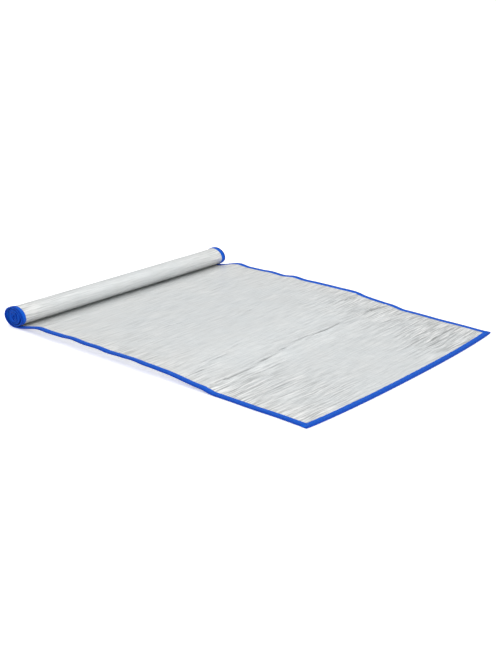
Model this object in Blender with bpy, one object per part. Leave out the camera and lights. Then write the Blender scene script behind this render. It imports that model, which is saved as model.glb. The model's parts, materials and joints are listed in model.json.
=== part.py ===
"""A thin roll-up sleeping mat, lying part unrolled on the ground.

The mat is a closed-cell foam core between two metallised films, edged all round with
folded fabric tape that is sewn through. One end lies free, past a fold crease. The other
end is wound into a roll on top of the mat. Lengths are in metres.

+X runs along the mat to its free end, +Y across it and +Z up. The origin is on the
ground, under the middle of the whole outline.

A place along the mat is one number, called along: below zero it is minus the distance
from the line where the roll meets the ground, in metres, and above zero it is the angle
that the mat has turned since that line, in radians. A depth is measured from the mat's
ground side towards its top side, which is the inside of the roll.
"""

import functools
import math

import bmesh
import bpy
from mathutils import Vector

# The mat
MAT_WIDTH = 0.900
FLAT_LENGTH = 1.067
ROLLED_LENGTH = 0.733
FOAM_THICKNESS = 0.0015
FILM_THICKNESS = 0.0003
TAPE_THICKNESS = 0.0004
TAPE_WIDTH = 0.018
LAYER_GAP = 0.0003
JOIN_GAP = 0.0004

# The roll
INNERMOST_BEND = 0.0054
TURN_GAP = 0.0003
OUTER_TURN_SLACK = 0.0045
OUTER_TURN_SAG = 0.0145
INNER_TURN_SAG = 0.0020
SLACK_EASE = 1.0
UNROLL_HINGES = 12
TURN_STEP = math.radians(10)
TIGHT_TURN_STEP = math.radians(20)
FINE_TURNS = 3

# How the flat part lies
FOLD_FROM_FREE_END = 0.345
CREASE_HEIGHT = 0.0065
CREASE_RUN = 0.055
ARCH_HEIGHT_NEAR = 0.0155
ARCH_HEIGHT_FAR = 0.0170
ARCH_RISE = 0.110
ARCH_FALL = 0.170
FLAT_STEP = 0.020

# The sewing
THREAD_WIDTH = 0.0008
THREAD_HEIGHT = 0.0003
THREAD_FROM_TAPE_EDGE = 0.0025

# Worked out from the sizes above
FILM_DEPTH = TAPE_THICKNESS + LAYER_GAP
FOAM_DEPTH = FILM_DEPTH + FILM_THICKNESS + LAYER_GAP
TOP_FILM_DEPTH = FOAM_DEPTH + FOAM_THICKNESS + LAYER_GAP
TOP_TAPE_DEPTH = TOP_FILM_DEPTH + FILM_THICKNESS + LAYER_GAP
MAT_THICKNESS = TOP_TAPE_DEPTH + TAPE_THICKNESS
THREAD_DEPTH = MAT_THICKNESS + LAYER_GAP
FULL_TURN = 2 * math.pi
TURN_PITCH = MAT_THICKNESS + TURN_GAP
BEND_PER_RADIAN = TURN_PITCH / FULL_TURN
CREASE_ALONG = FOLD_FROM_FREE_END - FLAT_LENGTH
HINGE_ANGLE = FULL_TURN / UNROLL_HINGES
SHEET_EDGE = MAT_WIDTH / 2 - TAPE_THICKNESS - LAYER_GAP


def turn_before_end(length):
    """Angle turned over the last length of the mat, up to its inner end."""
    squared = INNERMOST_BEND**2 + 2 * BEND_PER_RADIAN * length
    return (math.sqrt(squared) - INNERMOST_BEND) / BEND_PER_RADIAN


WHOLE_TURN = turn_before_end(ROLLED_LENGTH - FULL_TURN * OUTER_TURN_SLACK)


def ease(share):
    """Smooth step from 0 to 1."""
    share = min(1.0, max(0.0, share))
    return share * share * (3 - 2 * share)


def bend_radius(turn):
    """Radius that the mat's ground side is bent to after turning so far.

    The roll sags under its own weight, so it is bent less at its top and bottom and more
    at its sides. The outermost turn is looser and sags more than the turns inside it.
    """
    loose = 1 - ease((turn - FULL_TURN) / SLACK_EASE + 0.5)
    left = WHOLE_TURN - turn
    inner_sag = INNER_TURN_SAG * min(1.0, left / (WHOLE_TURN - FULL_TURN))
    sag = inner_sag + (OUTER_TURN_SAG - inner_sag) * loose
    wound_tight = INNERMOST_BEND + BEND_PER_RADIAN * left
    return wound_tight + OUTER_TURN_SLACK * loose + sag * math.cos(2 * turn)


@functools.cache
def wound_point(turn):
    """The ground side's (x, z) and length wound, from where the roll meets the ground."""
    steps = max(1, math.ceil(math.degrees(turn)))
    step = turn / steps
    x, z, length = 0.0, 0.0, 0.0
    for i in range(steps):
        middle = (i + 0.5) * step
        run = bend_radius(middle) * step
        x -= run * math.cos(middle)
        z += run * math.sin(middle)
        length += run
    return x, z, length


def ground_height(back, y):
    """How far the mat's ground side is off the ground, back metres before the roll."""
    crease = -CREASE_ALONG
    if back > crease:
        return CREASE_HEIGHT * (1 - ease((back - crease) / CREASE_RUN))
    across = 0.5 + y / MAT_WIDTH
    arch = ARCH_HEIGHT_NEAR + (ARCH_HEIGHT_FAR - ARCH_HEIGHT_NEAR) * across
    from_crease = ease((crease - back) / ARCH_FALL)
    return arch * ease(back / ARCH_RISE) * from_crease + CREASE_HEIGHT * (1 - from_crease)


def outline_middle():
    """Where the middle of the whole outline is along X, from the touch-down line."""
    quarter = math.radians(90)
    return (FLAT_LENGTH + wound_point(quarter)[0]) / 2


TOUCH_DOWN_X = -outline_middle()


def place(along, y, depth):
    """The point at a place along the mat, across it and into its thickness."""
    if along <= 0:
        return Vector((TOUCH_DOWN_X - along, y, depth + ground_height(-along, y)))
    x, z, _ = wound_point(along)
    outward = TOUCH_DOWN_X + x + depth * math.sin(along)
    return Vector((outward, y, z + depth * math.cos(along)))


def flat_stations(start, end):
    """Places along the flat part, evenly spaced."""
    count = max(1, round((end - start) / FLAT_STEP))
    return [start + (end - start) * i / count for i in range(count + 1)]


def wound_stations(start, end):
    """Places along the roll at whole steps of turn, so that neighbouring turns nest."""
    stations = [start]
    turn = start
    while True:
        step = TURN_STEP if turn < FINE_TURNS * FULL_TURN - 1e-6 else TIGHT_TURN_STEP
        turn = (math.floor(turn / step + 1e-6) + 1) * step
        if turn > end - step / 4:
            return [*stations, end]
        stations.append(turn)


def loft(name, rings, material, hinge):
    """A closed solid through rings of points, hung on its hinge's axis."""
    origin = hinge.matrix_world.translation if hinge else Vector()
    shape = bmesh.new()
    loops = [[shape.verts.new(point - origin) for point in ring] for ring in rings]
    shape.faces.new(loops[0])
    shape.faces.new(reversed(loops[-1]))
    for low, high in zip(loops, loops[1:]):
        for i, corner in enumerate(low):
            after = (i + 1) % len(low)
            shape.faces.new((corner, high[i], high[after], low[after]))
    bmesh.ops.recalc_face_normals(shape, faces=shape.faces)
    mesh = bpy.data.meshes.new(name)
    shape.to_mesh(mesh)
    shape.free()
    mesh.shade_smooth()
    mesh.set_sharp_from_angle(angle=math.radians(35))
    mesh.materials.append(material)
    piece = bpy.data.objects.new(name, mesh)
    bpy.context.scene.collection.objects.link(piece)
    piece.parent = hinge
    return piece


def sweep(name, section, stations, material, hinge):
    """A solid of one (y, depth) section all the way along some stations."""
    rings = [[place(along, y, depth) for y, depth in section] for along in stations]
    return loft(name, rings, material, hinge)


def slab_section(depth, thickness):
    """Section of a layer that runs from edge to edge, inside the tapes."""
    return [
        (-SHEET_EDGE, depth),
        (SHEET_EDGE, depth),
        (SHEET_EDGE, depth + thickness),
        (-SHEET_EDGE, depth + thickness),
    ]


def tape_section(side):
    """Section of the tape folded round a long edge: side is -1 near and +1 far."""
    outside = MAT_WIDTH / 2
    edge = outside - TAPE_WIDTH
    nose = TAPE_THICKNESS
    points = [
        (edge, 0.0),
        (outside - nose, 0.0),
        (outside, nose),
        (outside, MAT_THICKNESS - nose),
        (outside - nose, MAT_THICKNESS),
        (edge, MAT_THICKNESS),
        (edge, TOP_TAPE_DEPTH),
        (outside - TAPE_THICKNESS, TOP_TAPE_DEPTH),
        (outside - TAPE_THICKNESS, TAPE_THICKNESS),
        (edge, TAPE_THICKNESS),
    ]
    return [(side * y, depth) for y, depth in points]


def thread_section(side):
    """Section of the row of stitches beside the inner edge of a long tape."""
    middle = MAT_WIDTH / 2 - TAPE_WIDTH + THREAD_FROM_TAPE_EDGE
    low, high = THREAD_DEPTH, THREAD_DEPTH + THREAD_HEIGHT
    half = THREAD_WIDTH / 2
    points = [(middle - half, low), (middle + half, low), (middle + half, high), (middle - half, high)]
    return [(side * y, depth) for y, depth in points]


def layers(prefix, stations, finish, hinge):
    """The foam core and its two films."""
    for name, depth, thickness, material in (
        ("ground_film", FILM_DEPTH, FILM_THICKNESS, finish["film"]),
        ("foam_core", FOAM_DEPTH, FOAM_THICKNESS, finish["foam"]),
        ("top_film", TOP_FILM_DEPTH, FILM_THICKNESS, finish["film"]),
    ):
        sweep(f"{prefix}_{name}", slab_section(depth, thickness), stations, material, hinge)


def side_tapes(prefix, stations, finish, hinge):
    """The tapes on the mat's two long edges."""
    for side, label in ((-1, "near"), (1, "far")):
        sweep(f"{prefix}_{label}_tape", tape_section(side), stations, finish["tape"], hinge)


def side_threads(prefix, stations, finish, hinge):
    """The rows of stitches on the two long tapes."""
    for side, label in ((-1, "near"), (1, "far")):
        sweep(f"{prefix}_{label}_stitching", thread_section(side), stations, finish["thread"], hinge)


def cross_tape(name, stations, finish, hinge):
    """The tape folded round an end, from edge to edge: its last station is the very end."""
    step_in = stations[:-1]
    outside = [(along, 0.0) for along in step_in]
    outside += [(stations[-1], TAPE_THICKNESS), (stations[-1], MAT_THICKNESS - TAPE_THICKNESS)]
    outside += [(along, MAT_THICKNESS) for along in reversed(step_in)]
    inside = [(along, TOP_TAPE_DEPTH) for along in step_in]
    inside += [(along, TAPE_THICKNESS) for along in reversed(step_in)]
    half = MAT_WIDTH / 2
    rings = [[place(along, y, depth) for along, depth in outside + inside] for y in (-half, half)]
    loft(name, rings, finish["tape"], hinge)


def lying_sheet(finish):
    """The part between the crease and the roll, with the first few degrees of the turn."""
    start = CREASE_ALONG + JOIN_GAP / 2
    first_pivot = HINGE_ANGLE / 2
    half_gap = JOIN_GAP / 2 / bend_radius(first_pivot)
    stations = [*flat_stations(start, 0.0), first_pivot - half_gap]
    layers("lying", stations, finish, None)
    side_tapes("lying", stations, finish, None)
    side_threads("lying", flat_stations(start, -TAPE_WIDTH), finish, None)


def free_end_panel(finish, hinge):
    """The part from the crease to the free end, which folds up and over."""
    end = -FLAT_LENGTH
    crease = CREASE_ALONG - JOIN_GAP / 2
    tape_inside = end + TAPE_THICKNESS + LAYER_GAP
    layers("free_end", flat_stations(tape_inside, crease), finish, hinge)
    side_run = flat_stations(end + TAPE_WIDTH + LAYER_GAP, crease)
    side_tapes("free_end", side_run, finish, hinge)
    side_threads("free_end", side_run, finish, hinge)
    nose = end + TAPE_THICKNESS
    cross_tape("free_end_tape", [end + TAPE_WIDTH, nose, end], finish, hinge)
    middle = end + TAPE_WIDTH - THREAD_FROM_TAPE_EDGE
    half_width = THREAD_WIDTH / 2
    half_row = MAT_WIDTH / 2 - TAPE_WIDTH
    corners = [(middle - half_width, THREAD_DEPTH), (middle + half_width, THREAD_DEPTH)]
    corners += [(along, depth + THREAD_HEIGHT) for along, depth in reversed(corners)]
    rings = [[place(along, y, depth) for along, depth in corners] for y in (-half_row, half_row)]
    loft("free_end_cross_stitching", rings, finish["thread"], hinge)


def outer_turn(finish, hinges):
    """The outermost turn, in short stretches that open one after another."""
    laminate = slab_section(FILM_DEPTH, TOP_TAPE_DEPTH - LAYER_GAP - FILM_DEPTH)
    for number, hinge in enumerate(hinges[:-1], start=1):
        begin = (number - 0.5) * HINGE_ANGLE
        finish_angle = begin + HINGE_ANGLE
        half_gap = JOIN_GAP / 2 / bend_radius(begin)
        stations = wound_stations(begin + half_gap, finish_angle - half_gap)
        prefix = f"turn_{number:02d}"
        sweep(f"{prefix}_sheet", laminate, stations, finish["film"], hinge)
        side_tapes(prefix, stations, finish, hinge)


def inner_roll(finish, hinge):
    """The turns inside the outermost one, down to the mat's inner end."""
    begin = (UNROLL_HINGES - 0.5) * HINGE_ANGLE
    start = begin + JOIN_GAP / 2 / bend_radius(begin)
    tape_inside = WHOLE_TURN - turn_before_end(TAPE_THICKNESS + LAYER_GAP)
    layers("roll", wound_stations(start, tape_inside), finish, hinge)
    sides_end = WHOLE_TURN - turn_before_end(TAPE_WIDTH + LAYER_GAP)
    side_tapes("roll", wound_stations(start, sides_end), finish, hinge)
    tape_start = WHOLE_TURN - turn_before_end(TAPE_WIDTH)
    nose = WHOLE_TURN - turn_before_end(TAPE_THICKNESS)
    cross_tape("roll_inner_end_tape", [*wound_stations(tape_start, nose), WHOLE_TURN], finish, hinge)


def fold_pivot():
    """Just above the stitching at the crease, so that the panel folds over clear of it."""
    stitching_top = THREAD_DEPTH + THREAD_HEIGHT
    return place(CREASE_ALONG, 0.0, stitching_top + JOIN_GAP)


def opening_pivot(number):
    """What a stretch of the outer turn swings about to come flat, in line with its start."""
    begin = (number - 1) * HINGE_ANGLE
    end = number * HINGE_ANGLE
    start_x, start_z, start_length = wound_point(begin)
    end_x, end_z, end_length = wound_point(end)
    run = end_length - start_length
    flat_x = start_x - run * math.cos(begin)
    flat_z = start_z + run * math.sin(begin)
    move_x, move_z = flat_x - end_x, flat_z - end_z
    reach = 0.5 / math.tan(HINGE_ANGLE / 2)
    x = (flat_x + end_x) / 2 - reach * move_z
    z = (flat_z + end_z) / 2 + reach * move_x
    return Vector((TOUCH_DOWN_X + x, 0.0, z))


def add_hinge(name, pivot, parent):
    """An empty on a joint's axis, which runs along Y."""
    hinge = bpy.data.objects.new(name, None)
    bpy.context.scene.collection.objects.link(hinge)
    hinge.empty_display_size = 0.02
    hinge.parent = parent
    hinge.location = pivot - parent.matrix_world.translation if parent else pivot
    bpy.context.view_layer.update()
    return hinge


def add_material(name, colour, roughness, metallic):
    """A plain Principled BSDF finish."""
    material = bpy.data.materials.new(name)
    material.use_nodes = True
    shader = material.node_tree.nodes["Principled BSDF"]
    shader.inputs["Base Color"].default_value = (*colour, 1.0)
    shader.inputs["Roughness"].default_value = roughness
    shader.inputs["Metallic"].default_value = metallic
    material.diffuse_color = (*colour, 1.0)
    return material


def build():
    """Makes the whole mat."""
    for old in list(bpy.data.objects):
        bpy.data.objects.remove(old)
    finish = {
        "film": add_material("silver_film", (0.68, 0.70, 0.71), 0.42, 0.55),
        "foam": add_material("white_foam", (0.82, 0.82, 0.80), 0.85, 0.0),
        "tape": add_material("blue_tape", (0.012, 0.105, 0.72), 0.75, 0.0),
        "thread": add_material("blue_thread", (0.03, 0.16, 0.80), 0.6, 0.0),
    }
    fold = add_hinge("fold_hinge", fold_pivot(), None)
    unroll = []
    for number in range(1, UNROLL_HINGES + 1):
        before = unroll[-1] if unroll else None
        unroll.append(add_hinge(f"unroll_hinge_{number:02d}", opening_pivot(number), before))
    lying_sheet(finish)
    free_end_panel(finish, fold)
    outer_turn(finish, unroll)
    inner_roll(finish, unroll[-1])


build()
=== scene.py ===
import json
import math

import bpy
import numpy as np
from mathutils import Matrix, Vector

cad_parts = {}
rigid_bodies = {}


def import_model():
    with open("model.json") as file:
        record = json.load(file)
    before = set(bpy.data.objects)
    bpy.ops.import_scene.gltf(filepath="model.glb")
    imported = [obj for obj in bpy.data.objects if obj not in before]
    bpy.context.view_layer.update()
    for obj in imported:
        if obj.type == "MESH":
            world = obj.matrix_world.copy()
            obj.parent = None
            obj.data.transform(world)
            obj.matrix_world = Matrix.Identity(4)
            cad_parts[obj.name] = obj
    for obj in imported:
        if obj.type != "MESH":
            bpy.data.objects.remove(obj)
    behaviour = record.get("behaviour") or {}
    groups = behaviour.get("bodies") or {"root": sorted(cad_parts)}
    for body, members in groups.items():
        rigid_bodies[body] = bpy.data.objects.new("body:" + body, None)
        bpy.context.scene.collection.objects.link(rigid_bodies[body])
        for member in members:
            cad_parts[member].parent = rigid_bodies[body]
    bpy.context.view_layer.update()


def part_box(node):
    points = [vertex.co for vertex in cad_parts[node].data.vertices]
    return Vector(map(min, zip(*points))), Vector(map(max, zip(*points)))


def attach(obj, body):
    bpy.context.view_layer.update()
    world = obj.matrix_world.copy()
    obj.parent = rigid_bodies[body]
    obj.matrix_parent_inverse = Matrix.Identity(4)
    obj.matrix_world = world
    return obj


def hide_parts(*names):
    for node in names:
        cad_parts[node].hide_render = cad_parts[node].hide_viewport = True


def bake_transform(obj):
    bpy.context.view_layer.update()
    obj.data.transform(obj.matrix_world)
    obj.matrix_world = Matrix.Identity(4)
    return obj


for oldThing in list(bpy.data.objects):
    bpy.data.objects.remove(oldThing)

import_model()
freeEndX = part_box("free_end_tape")[1].x
print("frame loaded")


cameraSettings = {
    "fromFreeEnd": (1.350, -2.309, 1.055),  # metres from the middle of the free end
    "turned": 39.49,  # degrees to the left of +Y
    "down": 19.62,
    "tilt": 0.72,
    "lens": 58.6,
}


def makeCamera(settings):
    turned = math.radians(settings["turned"])
    down = math.radians(settings["down"])
    ahead = Vector((-math.sin(turned) * math.cos(down), math.cos(turned) * math.cos(down), -math.sin(down)))
    right = Vector((math.cos(turned), math.sin(turned), 0.0))
    up = right.cross(ahead)
    tilt = math.radians(settings["tilt"])
    tiltedRight = right * math.cos(tilt) + up * math.sin(tilt)
    tiltedUp = up * math.cos(tilt) - right * math.sin(tilt)
    camera = bpy.data.objects.new("camera", bpy.data.cameras.new("camera"))
    bpy.context.scene.collection.objects.link(camera)
    facing = Matrix((tiltedRight, tiltedUp, -ahead)).transposed()
    place = Vector(settings["fromFreeEnd"]) + Vector((freeEndX, 0, 0))
    camera.matrix_world = Matrix.Translation(place) @ facing.to_4x4()
    camera.data.lens = settings["lens"]
    bpy.context.scene.camera = camera


def setInputs(node, **values):
    for name, value in values.items():
        node.inputs[name.replace("_", " ")].default_value = value


white = (1.0, 1.0, 1.0, 1.0)

lightSettings = {
    "overhead": {"at": (-0.6, 0.9, 2.4), "size": 3.0, "power": 8.0, "mirrored": True},
    "sideFill": {"at": (2.5, -2.1, 0.60), "size": 1.5, "power": 42.0, "mirrored": False},
    "lampColour": (1.0, 0.995, 0.985),
    "aimAt": (0.0, 0.0, 0.0),
    "sky": 1.0,
    "horizon": 0.62,
    "skyFrom": 0.62,  # how far up the sky is at its brightest, as the sine of the angle
    "floorColour": 0.93,
    "floorGlow": 0.36,
    "floorRoughness": 0.9,
    "floorGloss": 0.1,
    "floorDrop": 0.0006,
    "floorHalf": 60.0,
}


def makeLights(settings):
    for name in ("overhead", "sideFill"):
        values = settings[name]
        lamp = bpy.data.lights.new(name, "AREA")
        lamp.shape = "DISK"
        lamp.size = values["size"]
        lamp.energy = values["power"]
        lamp.color = settings["lampColour"]
        holder = bpy.data.objects.new(name, lamp)
        bpy.context.scene.collection.objects.link(holder)
        holder.location = values["at"]
        holder.visible_glossy = values["mirrored"]
        ahead = Vector(settings["aimAt"]) - holder.location
        holder.rotation_euler = ahead.to_track_quat("-Z", "Y").to_euler()
    world = bpy.data.worlds.new("studio")
    bpy.context.scene.world = world
    world.use_nodes = True
    nodes = world.node_tree.nodes
    links = world.node_tree.links
    nodes.clear()
    output = nodes.new("ShaderNodeOutputWorld")
    background = nodes.new("ShaderNodeBackground")
    place = nodes.new("ShaderNodeTexCoord")
    split = nodes.new("ShaderNodeSeparateXYZ")
    ramp = nodes.new("ShaderNodeMapRange")
    links.new(place.outputs["Generated"], split.inputs[0])
    links.new(split.outputs["Z"], ramp.inputs["Value"])
    ramp.interpolation_type = "SMOOTHSTEP"
    setInputs(ramp, From_Min=0.0, From_Max=settings["skyFrom"])
    setInputs(ramp, To_Min=settings["horizon"], To_Max=settings["sky"])
    links.new(ramp.outputs["Result"], background.inputs["Strength"])
    setInputs(background, Color=white)
    links.new(background.outputs[0], output.inputs["Surface"])


def makeFloor(settings):
    half = settings["floorHalf"]
    mesh = bpy.data.meshes.new("floor")
    corners = [(-half, -half, 0), (half, -half, 0), (half, half, 0), (-half, half, 0)]
    mesh.from_pydata(corners, [], [(0, 1, 2, 3)])
    floor = bpy.data.objects.new("floor", mesh)
    bpy.context.scene.collection.objects.link(floor)
    floor.location.z = -settings["floorDrop"]
    material = bpy.data.materials.new("paleFloor")
    material.use_nodes = True
    shader = material.node_tree.nodes["Principled BSDF"]
    pale = settings["floorColour"]
    setInputs(shader, Base_Color=(pale, pale, pale, 1.0))
    setInputs(shader, Emission_Color=white, Emission_Strength=settings["floorGlow"])
    setInputs(shader, Roughness=settings["floorRoughness"], Specular_IOR_Level=settings["floorGloss"])
    mesh.materials.append(material)


makeCamera(cameraSettings)
makeLights(lightSettings)
makeFloor(lightSettings)
bpy.context.scene.view_settings.view_transform = "Standard"
print("camera, floor and light made")


# a place along the mat is metres below zero before the roll, and radians of turn above zero on it
mat = {
    "width": 0.900,
    "flatLength": 1.067,
    "rolledLength": 0.733,
    "foam": 0.0015,
    "film": 0.0003,
    "tape": 0.0004,
    "tapeWidth": 0.018,
    "gap": 0.0003,
    "innermostBend": 0.0054,
    "turnGap": 0.0003,
    "outerSlack": 0.0045,
    "outerSag": 0.0145,
    "innerSag": 0.0020,
    "slackEase": 1.0,
    "hinges": 12,
    "foldFromEnd": 0.345,
    "creaseHeight": 0.0065,
    "creaseRun": 0.055,
    "archNear": 0.0155,
    "archFar": 0.0170,
    "archRise": 0.110,
    "archFall": 0.170,
}

filmDepth = mat["tape"] + mat["gap"]
foamDepth = filmDepth + mat["film"] + mat["gap"]
topFilmDepth = foamDepth + mat["foam"] + mat["gap"]
topTapeDepth = topFilmDepth + mat["film"] + mat["gap"]
thickness = topTapeDepth + mat["tape"]
fullTurn = 2 * math.pi
bendPerRadian = (thickness + mat["turnGap"]) / fullTurn
halfWidth = mat["width"] / 2
sheetEdge = halfWidth - mat["tape"] - mat["gap"]
touchDownX = freeEndX - mat["flatLength"]
hingeAngle = fullTurn / mat["hinges"]


def turnBeforeEnd(length):
    squared = mat["innermostBend"] ** 2 + 2 * bendPerRadian * length
    return (math.sqrt(squared) - mat["innermostBend"]) / bendPerRadian


wholeTurn = turnBeforeEnd(mat["rolledLength"] - fullTurn * mat["outerSlack"])


def ease(share):
    share = np.clip(share, 0.0, 1.0)
    return share * share * (3 - 2 * share)


def woundTable(steps=24000):  # where the ground side of the roll runs, for each radian of turn
    step = wholeTurn / steps
    middle = (np.arange(steps) + 0.5) * step
    loose = 1 - ease((middle - fullTurn) / mat["slackEase"] + 0.5)
    left = wholeTurn - middle
    innerSag = mat["innerSag"] * np.minimum(1.0, left / (wholeTurn - fullTurn))
    sag = innerSag + (mat["outerSag"] - innerSag) * loose
    bend = mat["innermostBend"] + bendPerRadian * left + mat["outerSlack"] * loose
    bend = bend + sag * np.cos(2 * middle)
    run = bend * step
    start = np.zeros(1)
    return {
        "turn": np.arange(steps + 1) * step,
        "x": np.concatenate([start, np.cumsum(-run * np.cos(middle))]),
        "z": np.concatenate([start, np.cumsum(run * np.sin(middle))]),
        "length": np.concatenate([start, np.cumsum(run)]),
    }


wound = woundTable()


def fromEnd(along):
    turned = np.interp(along, wound["turn"], wound["length"])
    return mat["flatLength"] + np.where(along > 0, turned, along)


def groundHeight(back, y):
    crease = mat["flatLength"] - mat["foldFromEnd"]
    falling = mat["creaseHeight"] * (1 - ease((back - crease) / mat["creaseRun"]))
    arch = mat["archNear"] + (mat["archFar"] - mat["archNear"]) * (0.5 + y / mat["width"])
    fromCrease = ease((crease - back) / mat["archFall"])
    rising = arch * ease(back / mat["archRise"]) * fromCrease + mat["creaseHeight"] * (1 - fromCrease)
    return np.where(back > crease, falling, rising)


def matPoint(along, y, depth):
    along, y, depth = np.broadcast_arrays(np.asarray(along, float), y, depth)
    flatX = touchDownX - along
    flatZ = depth + groundHeight(-along, y)
    turn = np.maximum(along, 0.0)
    rolledX = touchDownX + np.interp(turn, wound["turn"], wound["x"]) + depth * np.sin(turn)
    rolledZ = np.interp(turn, wound["turn"], wound["z"]) + depth * np.cos(turn)
    x = np.where(along > 0, rolledX, flatX)
    z = np.where(along > 0, rolledZ, flatZ)
    return np.stack([x, y, z], -1)


hashMix = (374761393, 668265263, 974634277, 1274126177)


def latticeValue(i, j, seed):
    mixed = (i * hashMix[0] + j * hashMix[1] + seed * hashMix[2]) & 0xFFFFFFFF
    mixed = ((mixed ^ (mixed >> 13)) * hashMix[3]) & 0xFFFFFFFF
    return ((mixed ^ (mixed >> 16)) & 0xFFFF) / 65535.0


def softNoise(u, v, seed):
    u, v = np.broadcast_arrays(u, v)
    i = np.floor(u).astype(np.int64)
    j = np.floor(v).astype(np.int64)
    su = ease(u - i)
    sv = ease(v - j)
    low = latticeValue(i, j, seed) * (1 - su) + latticeValue(i + 1, j, seed) * su
    high = latticeValue(i, j + 1, seed) * (1 - su) + latticeValue(i + 1, j + 1, seed) * su
    return low * (1 - sv) + high * sv - 0.5


creaseSettings = {
    "line": (  # across, from the end, strength
        ((-0.45, 0.319, 0.0), (-0.386, 0.334, 0.85), (-0.33, 0.325, 1.0), (-0.25, 0.331, 0.60)),
        ((-0.17, 0.342, 1.0), (-0.12, 0.346, 1.0), (-0.05, 0.361, 0.65), (0.02, 0.367, 0.6)),
        ((0.09, 0.357, 1.0), (0.16, 0.356, 0.85), (0.216, 0.366, 0.40), (0.30, 0.369, 0.15)),
        ((0.36, 0.362, 0.85), (0.41, 0.359, 0.95), (0.45, 0.372, 0.0)),
    ),
    "jitter": 0.003,
    "groove": 0.0034,
    "grooveHalf": 0.0030,
    "lip": 0.0030,
    "lipAway": 0.0085,
    "lipHalf": 0.0060,
    "shadeHalf": 0.0027,
}

bubbleSettings = {  # the blister beside the crease's near end
    "at": (0.3265, -0.374),
    "length": 0.020,
    "half": 0.0045,
    "height": 0.0022,
    "slant": -0.45,
    "round": 0.9,
}

pleatSettings = {"deepest": 0.0028, "half": 0.0026, "lipAway": 0.0060, "lipHalf": 0.0045, "shadeHalf": 0.0021}

smallCreases = (  # from the end, across, half length, lean, depth
    (0.103, 0.330, 0.085, 0.02, 0.0018),
    (0.083, 0.300, 0.100, -0.02, 0.0016),
    (0.128, 0.250, 0.110, 0.03, 0.0013),
    (0.150, 0.330, 0.070, 0.03, 0.0013),
    (0.352, 0.375, 0.040, -0.10, 0.0026),
    (0.455, 0.385, 0.032, -0.25, 0.0028),
    (0.470, 0.330, 0.045, -0.15, 0.0015),
    (0.407, -0.385, 0.040, 0.05, 0.0018),
    (0.434, -0.280, 0.060, 0.08, 0.0013),
    (0.459, -0.149, 0.050, 0.12, 0.0011),
    (0.250, -0.340, 0.070, 0.02, 0.0013),
    (0.205, -0.300, 0.090, -0.02, 0.0011),
    (0.300, -0.180, 0.080, 0.04, 0.0011),
    (0.620, 0.100, 0.060, 0.25, 0.0009),
    (0.700, -0.180, 0.050, -0.2, 0.0009),
    (0.835, 0.180, 0.050, 0.12, 0.0009),
)


def bump(distance, half):
    return np.exp(-((distance / half) ** 2))


def creaseLine(d, y):
    values = creaseSettings
    across, fromFreeEnd, strength = zip(*sum(values["line"], ()))
    line = np.interp(y, across, fromFreeEnd) + values["jitter"] * softNoise(y / 0.022, 0.0, 31)
    return d - line, np.interp(y, across, strength)


def creaseShade(d, y):
    # painted shade: how dark the film is painted in the bottom of each crease, from 0 to 1
    off, strength = creaseLine(d, y)
    shade = strength**1.5 * bump(off, creaseSettings["shadeHalf"])
    for atD, atY, half, lean, depth in smallCreases:
        faint = depth / pleatSettings["deepest"] * np.exp(-(((y - atY) / half) ** 4))
        shade = shade + faint * bump(d - atD - lean * (y - atY), pleatSettings["shadeHalf"])
    return np.clip(shade, 0.0, 1.0)


def creaseShape(d, y):
    values = creaseSettings
    off, strength = creaseLine(d, y)
    away, half = values["lipAway"], values["lipHalf"]
    lips = bump(off - away, half) + bump(off + away, half)
    shape = strength * (values["lip"] * lips - values["groove"] * bump(off, values["grooveHalf"]))
    bubble = bubbleSettings
    du = d - bubble["at"][0]
    dv = y - bubble["at"][1]
    du = du + dv * bubble["slant"]
    ring = np.sqrt((du / bubble["half"]) ** 2 + (dv / bubble["length"]) ** 2)
    shape = shape + bubble["height"] * bump(ring, bubble["round"])
    values = pleatSettings
    for atD, atY, half, lean, depth in smallCreases:
        along = (y - atY) / half
        away = d - atD - lean * (y - atY)
        pleat = bump(away - values["lipAway"], values["lipHalf"]) - bump(away, values["half"])
        shape = shape + depth * pleat * np.exp(-(along**4))
    return shape


ribSettings = {
    "broad": {"wave": 0.0062, "reach": 0.120, "height": 0.00080, "seed": 5},
    "fine": {"wave": 0.0042, "reach": 0.070, "height": 0.00075, "seed": 9},
    "squeezed": 0.10,  # share of the height that is left between two turns
    "swellHeight": 0.0016,
    "swellWave": (0.085, 0.140),
    "crossWave": (0.055, 0.075),
    "frill": 0.0060,
    "frillRun": 0.045,
    "frillFrom": 0.30,
    "wander": 0.005,
    "clearOfTape": 0.010,
}

# how strong the ribs are, in relief and in their painted shade and painted highlight lines, from 0 to 1, in
# each part of the mat
ribPlaces = {
    "flat": 0.24,
    "edge": 0.45,
    "edgeRun": 0.055,
    "farCorner": 0.75,
    "farCornerAt": 0.075,
    "farCornerHalf": 0.105,
    "nearPart": 0.40,
    "beforeRoll": 0.25,
    "farPart": 0.35,
    "roll": 0.12,
    "rollEdge": 0.50,
    "rollEdgeRun": 0.16,
    "patchy": 0.8,
    "patch": (0.13, 0.19),
    "most": 1.3,
}


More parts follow.
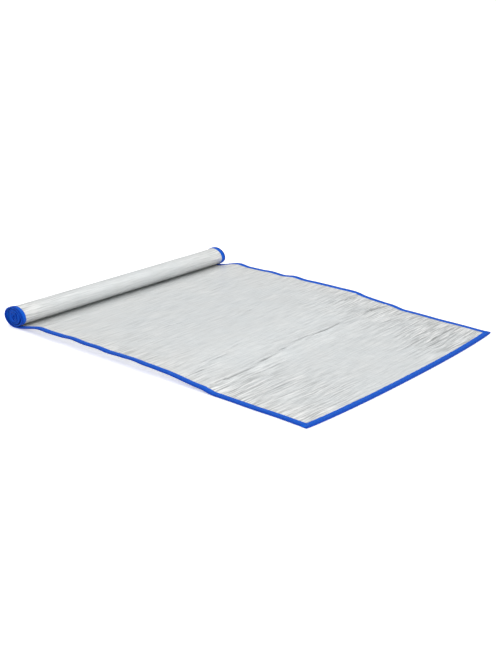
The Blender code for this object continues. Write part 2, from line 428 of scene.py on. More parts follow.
def ribStrength(d, y):
    values = ribPlaces
    toEdge = halfWidth - np.abs(y)
    onRoll = ease((d - mat["flatLength"]) / 0.01)
    flat = values["flat"] + values["edge"] * np.exp(-toEdge / values["edgeRun"])
    corner = bump(d - values["farCornerAt"], values["farCornerHalf"])
    flat = flat + values["farCorner"] * corner * ease((y - 0.02) / 0.33)
    flat = flat + values["nearPart"] * ease((0.335 - d) / 0.03) * ease((-0.05 - y) / 0.25)
    flat = flat + values["beforeRoll"] * ease((d - 0.93) / 0.10)
    flat = flat + values["farPart"] * ease((y - 0.15) / 0.20) * ease((0.60 - d) / 0.15)
    rolled = values["roll"] + values["rollEdge"] * np.exp(-toEdge / values["rollEdgeRun"])
    patch = 1.0 + values["patchy"] * softNoise(d / values["patch"][0], y / values["patch"][1], 17)
    return np.clip((flat * (1 - onRoll) + rolled * onRoll) * patch, 0.0, values["most"])


def wrinkles(along, y, face):
    # face is 1 on the top side, -1 on the ground side and 0 on what no side shows
    d = fromEnd(along)
    height = np.zeros(np.broadcast(d, y).shape)
    wander = ribSettings["wander"] * softNoise(d / 0.05, y / 0.16, 23)
    for kind in ("broad", "fine"):
        values = ribSettings[kind]
        waves = softNoise((d + wander) / values["wave"], y / values["reach"], values["seed"])
        height = height + values["height"] * (0.5 + waves) * (0.65 + 0.7 * np.abs(waves))
    clear = ribSettings["clearOfTape"]
    inside = sheetEdge - mat["tapeWidth"] - np.abs(y)
    clearOfTape = ease(inside / clear) * ease((d - mat["tapeWidth"]) / clear)
    lifted = ease(along / 0.7)
    outermost = 1 - ease((along - fullTurn + 0.35) / 0.35)
    topShare = 1 - (1 - ribSettings["squeezed"]) * lifted
    groundShare = ribSettings["squeezed"] + (1 - ribSettings["squeezed"]) * lifted * outermost
    share = np.where(face > 0, topShare, np.where(face < 0, -groundShare, 0.0))
    return height * ribStrength(d, y) * clearOfTape * share


def lift(d, y):
    values = ribSettings
    flat = 1 - ease((d - mat["flatLength"] + 0.14) / 0.12)
    waves = softNoise(d / values["swellWave"][0], y / values["swellWave"][1], 41)
    cross = softNoise((d + 0.5 * y) / values["crossWave"][0], (y - 0.4 * d) / values["crossWave"][1], 43)
    swell = values["swellHeight"] * (0.55 + waves + 0.35 * cross) * ease(d / 0.05)
    toEdge = halfWidth - np.abs(y)
    swell = swell * (0.35 + 0.65 * ease(toEdge / 0.08))
    frill = values["frill"] * (0.5 + softNoise(d / 0.048, y / 0.45, 47))
    frill = frill * np.exp(-toEdge / values["frillRun"]) * ease((d - values["frillFrom"]) / 0.15)
    return flat * (swell + frill + creaseShape(d, y) * ease((sheetEdge - np.abs(y)) / 0.030))


driftSettings = {"slow": 0.0044, "quick": 0.0018, "telescoped": 0.0045, "pulledBack": 0.0012, "flat": 0.0030}


def sideways(along, y):
    # the turns of the roll drift across, and the inner ones sit a little toward the far edge
    values = driftSettings
    turn = np.maximum(along, 0.0)
    drift = values["slow"] * softNoise(turn / 2.3, 0.0, 51) + values["quick"] * softNoise(turn / 0.5, 0.0, 52)
    telescoped = values["telescoped"] * ease((turn - fullTurn + 0.6) / 1.8)
    telescoped = telescoped - values["pulledBack"] * ease((turn - 3 * fullTurn) / 4.0)
    flatWander = values["flat"] * softNoise(along / 0.075, 0.0, 53)
    flatWander = flatWander * ease(-along / 0.05) * ease((along + mat["flatLength"]) / 0.05)
    return y + drift * ease(turn / 3.0) + telescoped + np.where(along > 0, 0.0, flatWander)


bowSettings = {  # the free end bulges outward, and its far corner is pulled out and inward
    "reach": 0.0205,
    "run": 0.30,
    "cornerOut": 0.005,
    "cornerIn": 0.013,
    "cornerRun": 0.35,
}
flareSettings = {"film": 0.0006, "tape": 0.0016, "over": 0.016}  # the bound edges stand out on the roll


def layPoint(along, y, depth, face=0.0):
    d = fromEnd(along)
    onRoll = ease(along / 0.9)
    fromTop = 0.5 - 0.5 * np.cos(np.maximum(along, 0.0))
    flare = flareSettings
    edgeShare = ease((np.abs(y) - sheetEdge + mat["tapeWidth"] + flare["over"] / 2) / flare["over"])
    sunk = onRoll * (flare["film"] * (1 - edgeShare) - flare["tape"] * edgeShare * fromTop)
    points = matPoint(along, sideways(along, y), depth + sunk + lift(d, y) + wrinkles(along, y, face))
    values = bowSettings
    across = np.clip(1 - (y / halfWidth) ** 2, 0.0, 1.0) ** 0.8
    corner = ease((values["cornerRun"] - d) / values["cornerRun"]) * ease((y + 0.10) / (halfWidth + 0.10))
    bow = values["reach"] * across * (1 - ease(d / values["run"]))
    points[..., 0] += bow + values["cornerOut"] * corner
    points[..., 1] -= values["cornerIn"] * corner
    return points


print("mat shape worked out")


def newGroup(name, takes, *gives):
    # takes holds each input's usual value, and a vector input has none
    group = bpy.data.node_groups.new(name, "ShaderNodeTree")
    for label, value in takes.items():
        kind = "NodeSocketVector" if value is None else "NodeSocketFloat"
        socket = group.interface.new_socket(name=label, in_out="INPUT", socket_type=kind)
        if value is not None:
            socket.default_value = value
    for label in gives:
        group.interface.new_socket(name=label, in_out="OUTPUT", socket_type="NodeSocketFloat")
    entry = group.nodes.new("NodeGroupInput")
    leave = group.nodes.new("NodeGroupOutput")
    return group, entry, leave


def mathNode(tree, operation, first, second=None, clamp=False):
    node = tree.nodes.new("ShaderNodeMath")
    node.operation = operation
    node.use_clamp = clamp
    for slot, value in enumerate((first, second)):
        if value is None:
            continue
        if isinstance(value, (int, float)):
            node.inputs[slot].default_value = value
        else:
            tree.links.new(value, node.inputs[slot])
    return node.outputs[0]


def times(tree, first, second, clamp=False):
    return mathNode(tree, "MULTIPLY", first, second, clamp)


def plus(tree, first, second, clamp=False):
    return mathNode(tree, "ADD", first, second, clamp)


def minus(tree, first, second):
    return mathNode(tree, "SUBTRACT", first, second)


def splitVector(tree, vector):
    node = tree.nodes.new("ShaderNodeSeparateXYZ")
    tree.links.new(vector, node.inputs[0])
    return node.outputs


def uvPlace(tree, name):
    node = tree.nodes.new("ShaderNodeUVMap")
    node.uv_map = name
    return node.outputs["UV"]


def mixColour(tree, share, first, second):
    node = tree.nodes.new("ShaderNodeMix")
    node.data_type = "RGBA"
    for socket, value in ((node.inputs[0], share), (node.inputs[6], first), (node.inputs[7], second)):
        if isinstance(value, (int, float, tuple)):
            socket.default_value = value
        else:
            tree.links.new(value, socket)
    return node.outputs[2]


def stretched(tree, place, across, along):
    node = tree.nodes.new("ShaderNodeMapping")
    tree.links.new(place, node.inputs["Vector"])
    if isinstance(across, (int, float)):
        node.inputs["Scale"].default_value = (across, along, 1.0)
    else:
        both = tree.nodes.new("ShaderNodeCombineXYZ")
        tree.links.new(across, both.inputs[0])
        tree.links.new(along, both.inputs[1])
        both.inputs[2].default_value = 1.0
        tree.links.new(both.outputs[0], node.inputs["Scale"])
    return node.outputs[0]


def noiseNode(tree, place, detail=2.0, roughness=0.5, scale=1.0):
    node = tree.nodes.new("ShaderNodeTexNoise")
    setInputs(node, Scale=scale, Detail=detail, Roughness=roughness)
    tree.links.new(place, node.inputs["Vector"])
    return node.outputs["Fac"]


ribLook = {
    "bendScale": (14.0, 9.0),
    "bendReach": 0.012,
    "detail": (1.5, 0.50),
    "paintedShadeBelow": 0.48,
    "paintedHighlightAbove": 0.53,
    "lineContrast": 9.0,
    "ribShare": 0.75,
    "ridgeShare": 0.3,
}


# besides the rib height, the group gives masks for painted shade and painted highlight along the ribs
def makeRibGroup(look):
    takes = {"Place": None, "Ribs Per Metre": 225.0, "Breaks Per Metre": 11.0, "Strength": 1.0}
    group, entry, leave = newGroup("crossRibs", takes, "Height", "Painted Rib Shade", "Painted Rib Highlight")
    given = entry.outputs
    bend = noiseNode(group, stretched(group, given["Place"], *look["bendScale"]), 1.0)
    shifted = group.nodes.new("ShaderNodeVectorMath")
    shifted.operation = "MULTIPLY_ADD"
    offset = group.nodes.new("ShaderNodeCombineXYZ")
    group.links.new(bend, offset.inputs[0])
    group.links.new(offset.outputs[0], shifted.inputs[0])
    shifted.inputs[1].default_value = (look["bendReach"], 0.0, 0.0)
    group.links.new(given["Place"], shifted.inputs[2])
    place = stretched(group, shifted.outputs[0], given["Ribs Per Metre"], given["Breaks Per Metre"])
    ribs = noiseNode(group, place, *look["detail"])
    away = mathNode(group, "ABSOLUTE", minus(group, ribs, 0.5))
    ridge = minus(group, 0.5, times(group, away, 2.0))
    both = plus(group, times(group, ribs, look["ribShare"]), times(group, ridge, look["ridgeShare"]))
    group.links.new(times(group, both, given["Strength"]), leave.inputs["Height"])
    # the dark rib lines are painted shade and the light rib lines are painted highlight
    beyond = {
        "Painted Rib Shade": minus(group, look["paintedShadeBelow"], ribs),
        "Painted Rib Highlight": minus(group, ribs, look["paintedHighlightAbove"]),
    }
    for label, amount in beyond.items():
        line = times(group, amount, look["lineContrast"], clamp=True)
        group.links.new(times(group, line, given["Strength"], clamp=True), leave.inputs[label])
    return group


def makeMottleGroup():
    takes = {"Place": None, "Per Metre": 12.0, "Contrast": 2.0}
    group, entry, leave = newGroup("mottle", takes, "Patches", "Grain")
    place = stretched(group, entry.outputs["Place"], entry.outputs["Per Metre"], entry.outputs["Per Metre"])
    patches = noiseNode(group, place, 4.0, 0.6)
    centred = times(group, minus(group, patches, 0.5), entry.outputs["Contrast"])
    group.links.new(plus(group, centred, 0.5, clamp=True), leave.inputs["Patches"])
    group.links.new(noiseNode(group, place, 6.0, 0.7, 38.0), leave.inputs["Grain"])
    return group


weaveLook = {"fuzzScale": 420.0, "height": (0.7, 0.5), "shade": (0.35, 0.65)}  # shares of weave and fuzz


def makeWeaveGroup(look):
    takes = {"Place": None, "Threads Per Metre": 1500.0}
    group, entry, leave = newGroup("weave", takes, "Height", "Shade")
    rate = times(group, entry.outputs["Threads Per Metre"], math.pi)
    threads = []
    for place in splitVector(group, entry.outputs["Place"])[:2]:  # the warp, then the weft
        wave = mathNode(group, "SINE", times(group, place, rate))
        threads.append(mathNode(group, "ABSOLUTE", wave))
    woven = times(group, *threads)
    fuzz = noiseNode(group, entry.outputs["Place"], 3.0, 0.6, look["fuzzScale"])
    for label, (wovenShare, fuzzShare) in (("Height", look["height"]), ("Shade", look["shade"])):
        mixed = plus(group, times(group, woven, wovenShare), times(group, fuzz, fuzzShare))
        group.links.new(mixed, leave.inputs[label])
    return group


ribGroup = makeRibGroup(ribLook)
mottleGroup = makeMottleGroup()
weaveGroup = makeWeaveGroup(weaveLook)


def startMaterial(name):
    material = bpy.data.materials.new(name)
    material.use_nodes = True
    tree = material.node_tree
    shader = tree.nodes["Principled BSDF"]
    return material, tree, shader, uvPlace(tree, "matPlace")


def placeGroup(tree, group, place, **values):
    node = tree.nodes.new("ShaderNodeGroup")
    node.node_tree = group
    tree.links.new(place, node.inputs["Place"])
    for label, value in values.items():
        socket = node.inputs[label.replace("_", " ")]
        if isinstance(value, (int, float)):
            socket.default_value = value
        else:
            tree.links.new(value, socket)
    return node


def addBump(tree, shader, height, distance):
    node = tree.nodes.new("ShaderNodeBump")
    setInputs(node, Strength=1.0, Distance=distance)
    tree.links.new(height, node.inputs["Height"])
    tree.links.new(node.outputs["Normal"], shader.inputs["Normal"])


filmFinish = {
    "smooth": (0.640, 0.672, 0.682, 1.0),
    "warm": (0.715, 0.715, 0.695, 1.0),
    # painted shade and painted highlight along the ribs, in place of how the wrinkles shade and catch the
    # light
    "paintedRibShade": (0.30, 0.31, 0.31, 1.0),
    "paintedRibHighlight": (0.92, 0.92, 0.91, 1.0),
    # painted shade in the bottom of the creases
    "creaseLine": (0.10, 0.105, 0.11, 1.0),
    "crumpled": (0.45, 0.47, 0.50, 1.0),
    "paintedRibShadeShare": 0.60,
    "paintedRibHighlightShare": 0.75,
    "finePaintedRibShadeShare": 0.45,
    "paintedCreaseShadeShare": 0.95,
    "crumpleShare": 0.07,
    "patchWarmth": 0.35,
    "ribs": ((225.0, 11.0), (427.5, 24.0)),  # ribs and breaks per metre, of the broad and the fine ribs
    "metallic": 0.40,
    "roughness": (0.30, 0.44),
    "bump": 0.0030,
}


def makeFilm(name, finish):
    material, tree, shader, place = startMaterial(name)
    strength, warmth, _ = splitVector(tree, uvPlace(tree, "matWear"))
    paintedCreaseShade = splitVector(tree, uvPlace(tree, "matCrease"))[0]
    mottle = placeGroup(tree, mottleGroup, place, Per_Metre=11.0, Contrast=2.6).outputs
    crumple = placeGroup(tree, mottleGroup, place, Per_Metre=46.0, Contrast=2.2).outputs["Patches"]
    kinds = []
    for rate, breaks in finish["ribs"]:
        rates = {"Ribs_Per_Metre": rate, "Breaks_Per_Metre": breaks}
        kinds.append(placeGroup(tree, ribGroup, place, Strength=strength, **rates).outputs)
    ribs, fine = kinds
    patchTone = times(tree, minus(tree, mottle["Patches"], 0.5), finish["patchWarmth"])
    colour = mixColour(tree, plus(tree, warmth, patchTone, clamp=True), finish["smooth"], finish["warm"])
    layers = (
        (crumple, "crumpleShare", "crumpled"),
        (ribs["Painted Rib Shade"], "paintedRibShadeShare", "paintedRibShade"),
        (ribs["Painted Rib Highlight"], "paintedRibHighlightShare", "paintedRibHighlight"),
        (fine["Painted Rib Shade"], "finePaintedRibShadeShare", "paintedRibShade"),
        (paintedCreaseShade, "paintedCreaseShadeShare", "creaseLine"),
    )
    for mask, share, tint in layers:
        colour = mixColour(tree, times(tree, mask, finish[share]), colour, finish[tint])
    tree.links.new(colour, shader.inputs["Base Color"])
    setInputs(shader, Metallic=finish["metallic"])
    rough = tree.nodes.new("ShaderNodeMapRange")
    tree.links.new(mottle["Grain"], rough.inputs["Value"])
    setInputs(rough, To_Min=finish["roughness"][0], To_Max=finish["roughness"][1])
    tree.links.new(rough.outputs["Result"], shader.inputs["Roughness"])
    height = ribs["Height"]
    for relief, share in ((fine["Height"], 0.35), (crumple, 0.22), (mottle["Grain"], 0.10)):
        height = plus(tree, height, times(tree, relief, share))
    addBump(tree, shader, height, finish["bump"])
    return material


tapeFinish = {
    "deep": (0.0, 0.050, 0.50, 1.0),
    "bright": (0.003, 0.165, 0.76, 1.0),
    "worn": (0.055, 0.250, 0.82, 1.0),
    "under": (0.0, 0.018, 0.26, 1.0),  # painted shade on the fold's lower half and the ground side
    "underShare": 0.80,
    "wornAbove": 0.62,
    "wornShare": 0.9,
    "roughness": 0.85,
    "sheen": 0.05,
    "sheenRoughness": 0.4,
    "gloss": 0.12,
    "bump": 0.00035,
    "threads": 1500.0,
}


def makeTape(name, finish):
    material, tree, shader, place = startMaterial(name)
    weave = placeGroup(tree, weaveGroup, place, Threads_Per_Metre=finish["threads"])
    mottle = placeGroup(tree, mottleGroup, place, Per_Metre=60.0, Contrast=2.0)
    colour = mixColour(tree, weave.outputs["Shade"], finish["deep"], finish["bright"])
    above = minus(tree, mottle.outputs["Patches"], finish["wornAbove"])
    worn = times(tree, above, finish["wornShare"], clamp=True)
    colour = mixColour(tree, worn, colour, finish["worn"])
    # painted shade on the fold and the ground side of the lying tape, and between the turns of the roll
    under = splitVector(tree, uvPlace(tree, "matWear"))[0]
    colour = mixColour(tree, times(tree, under, finish["underShare"]), colour, finish["under"])
    tree.links.new(colour, shader.inputs["Base Color"])
    setInputs(shader, Roughness=finish["roughness"], Specular_IOR_Level=finish["gloss"])
    setInputs(shader, Sheen_Weight=finish["sheen"], Sheen_Roughness=finish["sheenRoughness"])
    addBump(tree, shader, weave.outputs["Height"], finish["bump"])
    return material


threadFinish = dict(tapeFinish, deep=(0.010, 0.080, 0.52, 1.0), bright=(0.10, 0.30, 0.95, 1.0))
threadFinish.update(threads=4200.0, bump=0.0002)

foamFinish = {
    "light": (0.84, 0.84, 0.82, 1.0),
    "dark": (0.66, 0.66, 0.64, 1.0),
    "cells": 900.0,
    "roughness": 0.88,
    "bump": 0.0003,
}


def makeFoam(name, finish):
    material, tree, shader, place = startMaterial(name)
    cells = tree.nodes.new("ShaderNodeTexVoronoi")
    setInputs(cells, Scale=finish["cells"])
    tree.links.new(place, cells.inputs["Vector"])
    mottle = placeGroup(tree, mottleGroup, place, Per_Metre=30.0, Contrast=1.6)
    share = times(tree, cells.outputs["Distance"], mottle.outputs["Patches"], clamp=True)
    tree.links.new(mixColour(tree, share, finish["light"], finish["dark"]), shader.inputs["Base Color"])
    setInputs(shader, Roughness=finish["roughness"])
    addBump(tree, shader, cells.outputs["Distance"], finish["bump"])
    return material


silverFilm = makeFilm("silverFilm", filmFinish)
blueTape = makeTape("blueTape", tapeFinish)
blueThread = makeTape("blueThread", threadFinish)
whiteFoam = makeFoam("whiteFoam", foamFinish)
print("materials made")


# how warm the silver is, from 0 to 1
warmthSettings = {
    "flat": 0.18,
    "edge": 0.65,
    "edgeRun": 0.07,
    "beforeRoll": 0.25,
    "roll": 0.25,
    "rollEdge": 0.75,
}


def warmthAt(d, y):
    values = warmthSettings
    toEdge = halfWidth - np.abs(y)
    onRoll = ease((d - mat["flatLength"]) / 0.01)
    flat = values["flat"] + values["edge"] * np.exp(-toEdge / values["edgeRun"])
    flat = flat + values["beforeRoll"] * ease((d - 0.80) / 0.2)
    rolled = values["roll"] + values["rollEdge"] * np.exp(-toEdge / 0.10)
    return np.clip(flat * (1 - onRoll) + rolled * onRoll, 0.0, 1.0)


def addPlaces(mesh, **layers):
    # one UV layer for each set of values, which are two for each vertex
    corners = np.zeros(len(mesh.loops), np.int64)
    mesh.loops.foreach_get("vertex_index", corners)
    for label, values in layers.items():
        if values is not None:
            layer = mesh.uv_layers.new(name=label)
            layer.uv.foreach_set("vector", values.reshape(-1, 2)[corners].astype(np.float32).ravel())


def loftFaces(rowCount, ringCount):
    # quads between the rows, and a cap on each end
    index = np.arange(rowCount * ringCount).reshape(rowCount, ringCount)
    after = np.roll(index, -1, axis=1)
    quads = np.stack([index[:-1], after[:-1], after[1:], index[1:]], -1).reshape(-1, 4)
    return [*quads.tolist(), index[0][::-1].tolist(), index[-1].tolist()]


def loftPiece(name, rows, material, places, ribsTintAndShade=None, paintedCreaseShades=None, flip=False):
    faces = loftFaces(*rows.shape[:2])
    if flip:
        faces = [face[::-1] for face in faces]
    mesh = bpy.data.meshes.new(name)
    mesh.from_pydata(rows.reshape(-1, 3).tolist(), [], faces)
    addPlaces(mesh, matPlace=places, matWear=ribsTintAndShade, matCrease=paintedCreaseShades)
    mesh.materials.append(material)
    return finishPiece(name, mesh, 40.0)


def finishPiece(name, mesh, sharpAngle):
    mesh.validate()
    mesh.shade_smooth()
    mesh.set_sharp_from_angle(angle=math.radians(sharpAngle))
    piece = bpy.data.objects.new(name, mesh)
    bpy.context.scene.collection.objects.link(piece)
    return piece


sheetDetail = {"seenColumns": 64, "hiddenColumns": 10}


def sheetPiece(name, stations, low, high, material, seen="both"):
    topColumns = sheetDetail["seenColumns" if seen in ("top", "both") else "hiddenColumns"]
    groundColumns = sheetDetail["seenColumns" if seen in ("ground", "both") else "hiddenColumns"]
    topY = np.linspace(-sheetEdge, sheetEdge, topColumns + 1)
    groundY = np.linspace(sheetEdge, -sheetEdge, groundColumns + 1)
    y = np.concatenate([topY, groundY])[None, :]
    depth = np.concatenate([np.full(len(topY), high), np.full(len(groundY), low)])[None, :]
    along = stations[:, None]
    face = {"top": 1.0, "ground": -1.0, "neither": 0.0}.get(seen)
    if face is None:
        face = np.concatenate([np.ones(len(topY)), -np.ones(len(groundY))])[None, :]
    rows = layPoint(along, y, depth, face)
    d, y = np.broadcast_arrays(fromEnd(along), y)
    places = np.stack([d, y], -1)
    # x is how strong the ribs are and y how warm the silver is
    ribsTintAndShade = np.stack([np.clip(ribStrength(d, y), 0, 1), warmthAt(d, y)], -1)
    # painted shade in the creases, none on the roll
    shades = creaseShade(d, y) * (1 - ease((d - mat["flatLength"]) / 0.01))
    return loftPiece(name, rows, material, places, ribsTintAndShade, np.stack([shades, 0 * shades], -1))


tapeSettings = {
    "puffFlat": 0.00040,
    "puffRolled": 0.00010,
    "stitchDip": 0.00022,
    "dipHalf": 0.0011,
    "stitchIn": 0.0025,
    "coreFill": 0.0030,  # how far the cloth bulges into the middle of the roll
    "edgeWave": 0.00030,
    "edgePitch": 0.0042,
    "edgeWander": 0.0006,
    "edgeRun": 0.004,
    "lump": 0.9,
    "endLump": 0.00016,
    "noseSteps": 7,
    "paintedEdgeShade": (0.0055, 0.0035, 0.6),  # painted shade: how far in the fold's edge is painted darker, over what run, and how much
}


def tapeProfile():
    # once round the folded cloth: how far in, depth, which face, and metres of cloth so far
    width = mat["tapeWidth"]
    nose = thickness / 2
    ins = [width, width - 0.0012, width - tapeSettings["stitchIn"], width - 0.0042, width * 0.5, 0.0032]
    outer = [(inward, thickness, 1.0) for inward in ins]
    for i in range(1, tapeSettings["noseSteps"]):
        turned = math.pi * i / tapeSettings["noseSteps"]
        outer.append((nose * (1 - math.sin(turned)), nose + nose * math.cos(turned), 0.0))
    outer += [(inward, 0.0, -1.0) for inward in reversed(ins)]
    cloth = mat["tape"]
    inner = [(width, cloth), (width * 0.5, cloth), (0.0026, cloth), (0.0012, nose * 0.6), (0.0007, nose)]
    inner += [(inward, thickness - depth) for inward, depth in reversed(inner[:-1])]
    inner = [(inward, depth, 0.0) for inward, depth in inner]
    section = np.array(outer + inner)
    steps = np.hypot(*np.diff(section[:, :2], axis=0).T)
    around = np.concatenate([[0.0], np.cumsum(steps)])
    return (*section.T, around)


def puffShape(inward):
    stitched = mat["tapeWidth"] - tapeSettings["stitchIn"]
    crown = np.sin(np.clip((stitched - inward) / stitched, 0, 1) * math.pi)
    dip = bump(inward - stitched, tapeSettings["dipHalf"])
    return crown, dip


def underShare(inward, depth, onFlat):
    # painted shade, lying flat: 0 on top, 1 from the fold round to the ground side; rolled: painted dark
    # between the turns
    reach, run, most = tapeSettings["paintedEdgeShade"]
    below = ease((thickness * 0.98 - depth) / (thickness * 0.45))
    lying = np.maximum(below, most * ease((reach - inward) / run))
    between = ease((np.abs(2 * depth / thickness - 1) - 0.10) / 0.5) * (inward < 0.0040)
    share = lying[None, :] * onFlat + between[None, :] * (1 - onFlat)
    return np.stack([share, 0 * share], -1)


def edgeWave(place, seed):
    # the cloth's inner edge is pulled in a little at every stitch
    pitch = tapeSettings["edgePitch"]
    wave = tapeSettings["edgeWave"] * np.sin(fullTurn * place / pitch)
    return wave + tapeSettings["edgeWander"] * softNoise(place / 0.02, 0.0 * place, seed)


def sideTape(name, stations, side):
    values = tapeSettings
    inward, depth, face, around = tapeProfile()
    face = face[None, :]
    along = stations[:, None]
    d = fromEnd(along)
    onFlat = 1 - ease((d - mat["flatLength"] + 0.05) / 0.05)
    puff = values["puffRolled"] + (values["puffFlat"] - values["puffRolled"]) * onFlat
    crown, dip = puffShape(inward[None, :])
    lumps = 1.0 + values["lump"] * softNoise(d / 0.017, side * 3.0 + 0 * d, 61)
    middle = np.sin(math.pi * np.clip(inward / mat["tapeWidth"], 0, 1))[None, :]
    innermost = values["coreFill"] * ease((along - wholeTurn + 4.2) / 2.5) * middle
    raised = puff * crown * lumps - values["stitchDip"] * dip + innermost
    topward = np.where(face > 0, raised, 0.0)
    sunk = values["stitchDip"] * dip - values["puffRolled"] * crown * (1 - onFlat)
    groundward = np.where(face < 0, 1.0, 0.0) * sunk
    atEdge = ease((inward[None, :] - mat["tapeWidth"] + values["edgeRun"]) / values["edgeRun"])
    y = side * (halfWidth - inward[None, :] + 0.0 * d - edgeWave(d, 62 + side) * atEdge)
    rows = layPoint(along, y, depth[None, :] + topward + groundward)
    places = np.stack(np.broadcast_arrays(d, around[None, :]), -1)
    ribsTintAndShade = underShare(inward, depth, onFlat)
    return loftPiece(name, rows, blueTape, places, ribsTintAndShade, flip=side > 0)


tipSettings = {"past": (0.0006, 0.0011, 0.0014), "radius": 0.00145}  # the end tape's rounded tips


def endTape(name, stations, lying, columns=180):
    # stations(inward) gives the place along the mat of a point that far in from the very end
    values = tapeSettings
    inward, depth, face, around = tapeProfile()
    crown, dip = puffShape(inward)
    puff = values["puffFlat"] if lying else 0.0
    dipDepth = values["stitchDip"] if lying else 0.0
    depth = depth + np.where(face > 0, puff * crown - dipDepth * dip, 0.0)
    depth = depth + np.where(face < 0, dipDepth * dip, 0.0)
    tip = halfWidth + np.array(tipSettings["past"])
    y = np.concatenate([-tip[::-1], np.linspace(-halfWidth, halfWidth, columns + 1), tip])[:, None]
    past = np.maximum(np.abs(y) - halfWidth, 0.0) / tipSettings["radius"]
    squeeze = np.sqrt(np.clip(1 - past**2, 0.02, 1.0))
    middle = thickness / 2
    lumps = values["endLump"] * softNoise(y / 0.016, 0.0 * y, 71) * (face[None, :] > 0)
    layered = middle + (depth[None, :] + lumps - middle) * squeeze
    atEdge = ease((inward[None, :] - mat["tapeWidth"] + values["edgeRun"]) / values["edgeRun"])
    along = stations(inward[None, :] + edgeWave(y, 72) * atEdge + 0.0 * y)
    rows = layPoint(along, y + 0.0 * along, layered)
    places = np.stack(np.broadcast_arrays(y, around[None, :]), -1)
    ribsTintAndShade = underShare(inward, depth, 1.0 + 0.0 * y)
    return loftPiece(name, rows, blueTape, places, ribsTintAndShade, flip=not lying)


stitchSettings = {
    "pitch": 0.0042,
    "length": 0.0030,
    "half": 0.00042,
    "height": 0.00030,
    "taper": 0.93,
    "proud": 0.00008,
    "groundRise": -0.5,  # the ground side's stitches are flatter
    "around": 6,
    "rings": 4,
}


def stitchPiece(name, middles, toward="place"):
    # middles are (place, across, depth, outward), and toward is which of place and across a stitch runs along
    values = stitchSettings
    ringAt = np.linspace(-1, 1, values["rings"])[:, None]
    angle = np.linspace(0, fullTurn, values["around"], endpoint=False)[None, :]
    fullness = np.sqrt(np.clip(1 - (values["taper"] * ringAt) ** 2, 0, 1))
    runs = ringAt * values["length"] / 2 + 0 * angle
    sides = fullness * values["half"] * np.cos(angle)
    rise = fullness * values["height"] * (np.sin(angle) + 0.25)
    shift, spread = (runs, sides) if toward == "place" else (sides, runs)
    oneStitch = loftFaces(values["rings"], values["around"])
    vertices, faces, places = [], [], []
    for place, across, depth, outward in middles:
        along = shiftAlong(place, shift)
        y = across + spread
        start = len(vertices)
        vertices += layPoint(along, y, depth + outward * rise).reshape(-1, 3).tolist()
        places += np.stack([fromEnd(along), y], -1).reshape(-1, 2).tolist()
        faces += [[start + corner for corner in face] for face in oneStitch]
    mesh = bpy.data.meshes.new(name)
    mesh.from_pydata(vertices, [], faces)
    addPlaces(mesh, matPlace=np.array(places))
    mesh.materials.append(blueThread)
    return finishPiece(name, mesh, 60.0)


def shiftAlong(place, metres):
    if place <= 0 and np.all(place + metres <= 0):
        return place + metres
    length = np.interp(max(place, 0.0), wound["turn"], wound["length"]) + min(place, 0.0)
    target = length + metres
    turned = np.interp(target, wound["length"], wound["turn"])
    return np.where(target > 0, turned, target)


def stitchLevels(faces=("top", "ground")):
    # how deep a stitch lies and how far it stands out, on each face that has them
    proud = stitchSettings["proud"] - tapeSettings["stitchDip"]
    levels = {"top": (thickness + proud, 1.0), "ground": (-proud, stitchSettings["groundRise"])}
    return [levels[face] for face in faces]


def sideStitches(stations, side, faces=("top", "ground")):
    across = side * (halfWidth - mat["tapeWidth"] + tapeSettings["stitchIn"])
    return [(place, across, *level) for place in stations for level in stitchLevels(faces)]


def evenStitches(start, end):
    # the middles of whole stitches that fill the run from start to end
    count = round((end - start) / stitchSettings["pitch"])
    return start + (np.arange(count) + 0.5) * (end - start) / count


print("mesh tools ready")


def crossFold(piece):
    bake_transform(piece)


def crossHinge(piece, number):
    first = Vector(matPoint((number - 1) * hingeAngle, 0.0, 0.0).tolist())
    last = Vector(matPoint(number * hingeAngle, 0.0, 0.0).tolist())
    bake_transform(piece)


def standFor(piece, slot, *nodes):
    if nodes:
        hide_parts(*nodes)


flatSettings = {
    "rowStep": 0.0016,
    "hiddenStep": 0.0035,
    "creaseStep": 0.0010,
    "creaseFrom": 0.300,
    "creaseTo": 0.395,
    "tapeStep": 0.0015,
    "rowClear": 0.001,  # between the end's stitches and the side tapes
}


def flatStations(start, step, fineStep):
    # from start metres in from the free end up to the roll's touch-down line
    edges = (start, flatSettings["creaseFrom"], flatSettings["creaseTo"], mat["flatLength"])
    runs = []
    for low, high, size in zip(edges, edges[1:], (step, fineStep, step)):
        count = max(1, round((high - low) / size))
        runs.append(np.linspace(low, high, count, endpoint=False))
    return np.concatenate([*runs, [mat["flatLength"]]]) - mat["flatLength"]


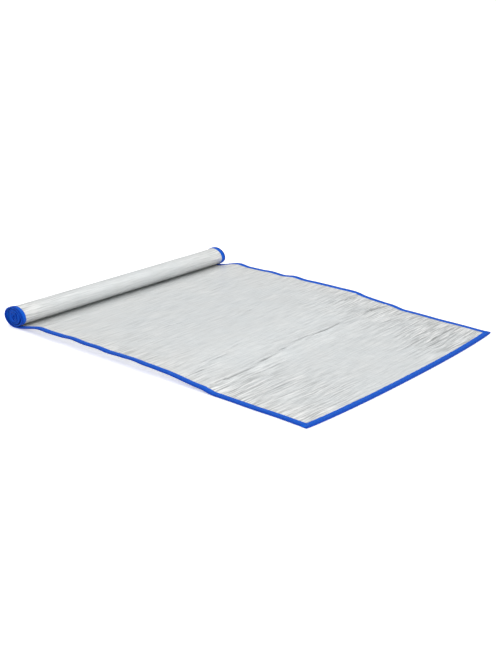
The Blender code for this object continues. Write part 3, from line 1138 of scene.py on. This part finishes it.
def makeFlatPart():
    values = flatSettings
    sheetStart = mat["tape"] + mat["gap"]
    sideStart = mat["tapeWidth"] + mat["gap"]
    film, foam, crease = mat["film"], mat["foam"], values["creaseStep"]
    fine = flatStations(sheetStart, values["rowStep"], crease)
    coarse = flatStations(sheetStart, values["hiddenStep"], crease * 2)
    alongTape = flatStations(sideStart, values["tapeStep"], values["tapeStep"])
    topFilm = sheetPiece("flat_top_film", fine, topFilmDepth, topFilmDepth + film, silverFilm, "top")
    groundFilm = sheetPiece("flat_ground_film", coarse, filmDepth, filmDepth + film, silverFilm, "ground")
    core = sheetPiece("flat_foam_core", coarse, foamDepth, foamDepth + foam, whiteFoam, "neither")
    hems = []
    at = evenStitches(sideStart - mat["flatLength"], 0.0)
    for side, label in ((-1, "near"), (1, "far")):
        tape = sideTape(f"flat_{label}_tape", alongTape, side)
        stitches = stitchPiece(f"flat_{label}_stitches", sideStitches(at, side))
        standFor(tape, "blue_tape", f"lying_{label}_tape", f"free_end_{label}_tape")
        standFor(stitches, "blue_thread", f"lying_{label}_stitching", f"free_end_{label}_stitching")
        hems += [tape, stitches]
    standFor(topFilm, "silver_film", "lying_top_film", "free_end_top_film")
    standFor(groundFilm, "silver_film", "lying_ground_film", "free_end_ground_film")
    standFor(core, "white_foam", "lying_foam_core", "free_end_foam_core")
    for piece in (topFilm, groundFilm, core, *hems):
        crossFold(piece)
    endCloth = endTape("end_tape", lambda inward: inward - mat["flatLength"], True)
    standFor(endCloth, "blue_tape", "free_end_tape")
    halfRow = halfWidth - mat["tapeWidth"] - values["rowClear"]
    place = mat["tapeWidth"] - tapeSettings["stitchIn"] - mat["flatLength"]
    middles = [(place, y, *level) for level in stitchLevels() for y in evenStitches(-halfRow, halfRow)]
    endStitches = stitchPiece("end_stitches", middles, "across")
    standFor(endStitches, "blue_thread", "free_end_cross_stitching")
    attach(endCloth, "free_end_panel")
    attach(endStitches, "free_end_panel")


makeFlatPart()
print("flat part made")


turnSettings = {"rowsPerHinge": 12}


def nodesOf(number, kind):
    # the last section of the turn has no nodes of its own
    return [f"turn_{number:02d}_{kind}"] if number < mat["hinges"] else []


def makeTurn(number):
    first, last = (number - 1) * hingeAngle, number * hingeAngle
    stations = np.linspace(first, last, turnSettings["rowsPerHinge"] + 1)
    sheetTop = topFilmDepth + mat["film"]
    laminate = sheetPiece(f"turn_sheet_{number:02d}", stations, filmDepth, sheetTop, silverFilm)
    standFor(laminate, "silver_film", *nodesOf(number, "sheet"))
    ends = np.interp(stations[[0, -1]], wound["turn"], wound["length"])
    at = np.interp(evenStitches(*ends), wound["length"], wound["turn"])
    hems = []
    for side, label in ((-1, "near"), (1, "far")):
        tape = sideTape(f"turn_{label}_tape_{number:02d}", stations, side)
        standFor(tape, "blue_tape", *nodesOf(number, f"{label}_tape"))
        hems.append(tape)
    rows = sideStitches(at, -1) + sideStitches(at, 1)
    stitches = stitchPiece(f"turn_stitches_{number:02d}", rows)
    standFor(stitches, "blue_thread")
    for piece in (laminate, stitches, *hems):
        crossHinge(piece, number)


for number in range(1, mat["hinges"] + 1):
    makeTurn(number)
print("outer turn made")


rollSettings = {"rowDegrees": 4.0, "hiddenDegrees": 7.5, "seenTurns": 1.15}


def rollStations(start, end):
    # finer where the inner roll shows when the outer turn is open
    change = min(end, start + rollSettings["seenTurns"] * fullTurn)
    fineCount = max(1, round(math.degrees(change - start) / rollSettings["rowDegrees"]))
    coarseCount = max(1, round(math.degrees(end - change) / rollSettings["hiddenDegrees"]))
    fine = np.linspace(start, change, fineCount, endpoint=False)
    return np.concatenate([fine, np.linspace(change, end, coarseCount + 1)])


def makeInnerRoll():
    start = fullTurn
    sheetEnd = wholeTurn - turnBeforeEnd(mat["tape"] + mat["gap"])
    sidesEnd = wholeTurn - turnBeforeEnd(mat["tapeWidth"] + mat["gap"])
    layers = rollStations(start, sheetEnd)
    made = []
    for layer, low, deep, material, slot, seen in (
        ("ground_film", filmDepth, mat["film"], silverFilm, "silver_film", "ground"),
        ("foam_core", foamDepth, mat["foam"], whiteFoam, "white_foam", "neither"),
        ("top_film", topFilmDepth, mat["film"], silverFilm, "silver_film", "neither"),
    ):
        piece = sheetPiece(f"roll_{layer}_wound", layers, low, low + deep, material, seen)
        standFor(piece, slot, f"roll_{layer}")
        made.append(piece)
    hems = []
    for side, label in ((-1, "near"), (1, "far")):
        tape = sideTape(f"roll_{label}_tape_wound", rollStations(start, sidesEnd), side)
        standFor(tape, "blue_tape", f"roll_{label}_tape")
        hems.append(tape)
    ends = np.interp([start, sidesEnd], wound["turn"], wound["length"])
    at = np.interp(evenStitches(*ends), wound["length"], wound["turn"])
    rows = sideStitches(at, -1, ("ground",)) + sideStitches(at, 1, ("ground",))
    stitches = stitchPiece("roll_stitches", rows)
    standFor(stitches, "blue_thread")

    def nearInnerEnd(inward):
        lengthLeft = wound["length"][-1] - inward
        return np.interp(lengthLeft, wound["length"], wound["turn"])

    endCloth = endTape("roll_inner_end_tape_folded", nearInnerEnd, False, columns=24)
    standFor(endCloth, "blue_tape", "roll_inner_end_tape")
    for piece in (*made, *hems, stitches, endCloth):
        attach(piece, "inner_roll")


makeInnerRoll()
print("inner roll made")
